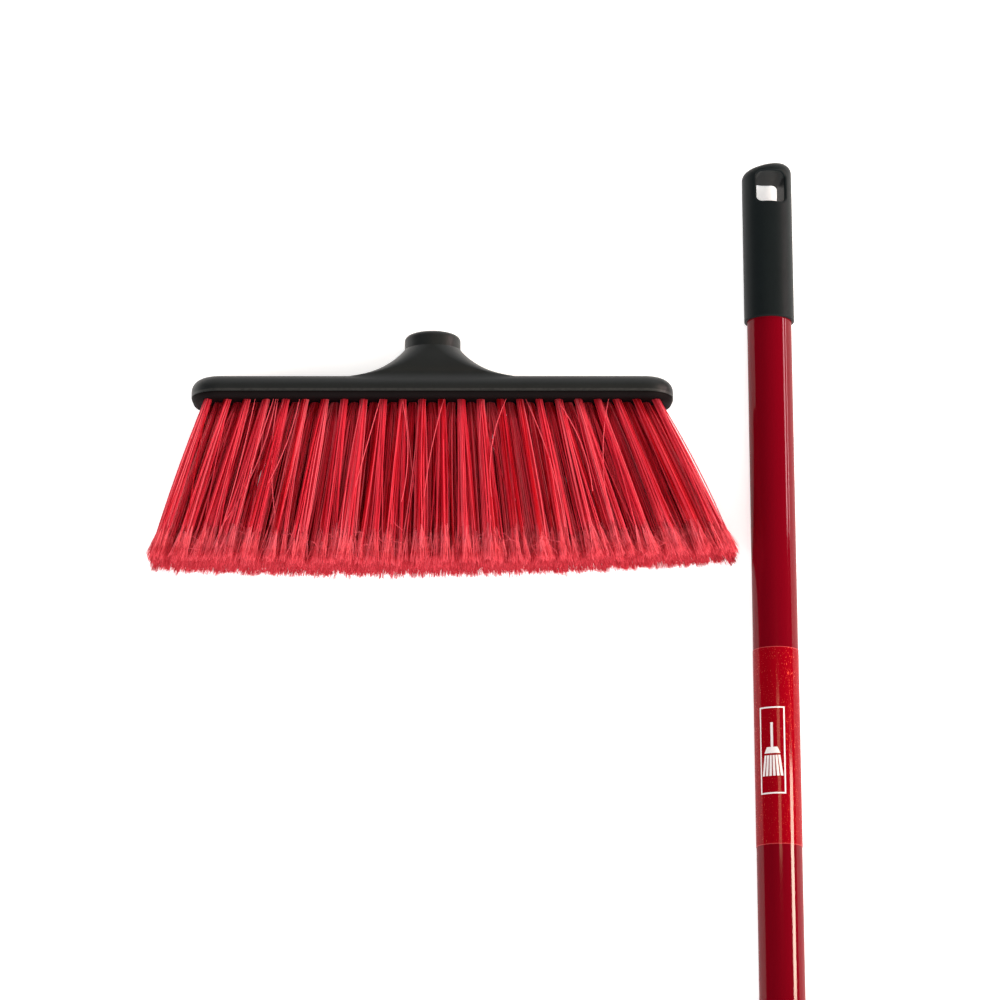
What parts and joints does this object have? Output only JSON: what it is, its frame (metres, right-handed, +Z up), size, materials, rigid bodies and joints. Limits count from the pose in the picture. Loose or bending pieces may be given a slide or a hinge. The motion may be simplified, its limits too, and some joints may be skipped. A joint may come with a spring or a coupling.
{
  "type": "sweeping broom",
  "caption": "Household sweeping broom taken apart: slim black head with flared bristle tufts and a screw socket, beside its film-covered steel handle with hang-hole grip.",
  "frame": {"origin": "centre of the mouth of the head's screw socket, on the socket's axis", "axes": "+Y out of the socket and along the handle towards its grip, +X from the head to the side where the handle lies, +Z up off the floor that both pieces lie on"},
  "size_m": [0.3235, 1.2, 0.034],
  "materials": {
    "cover_plastic": "satin",
    "block_plastic": "matte",
    "red_bristle": "satin",
    "anchor_wire": "satin",
    "tube_steel": "satin",
    "film_dark_red": "gloss",
    "label_bright_red": "gloss",
    "tip_plastic": "satin",
    "grip_plastic": "satin"
  },
  "bodies": {
    "head": {"head_cover": "cover_plastic", "tuft_block": "block_plastic", "tuft_row_1": "red_bristle", "tuft_row_2": "red_bristle", "tuft_row_3": "red_bristle", "tuft_row_4": "red_bristle", "tuft_row_5": "red_bristle", "anchor_row_1": "anchor_wire", "anchor_row_2": "anchor_wire", "anchor_row_3": "anchor_wire", "anchor_row_4": "anchor_wire", "anchor_row_5": "anchor_wire"},
    "handle": {"handle_tube": "tube_steel", "handle_film": "film_dark_red", "label_band": "label_bright_red", "thread_tip": "tip_plastic", "grip": "grip_plastic"}
  },
  "joints": [
    {"name": "handle_lift", "type": "slide", "parent": "head", "child": "handle", "axis": [0, 0, 1], "range_m": [0, 0.15]}
  ]
}
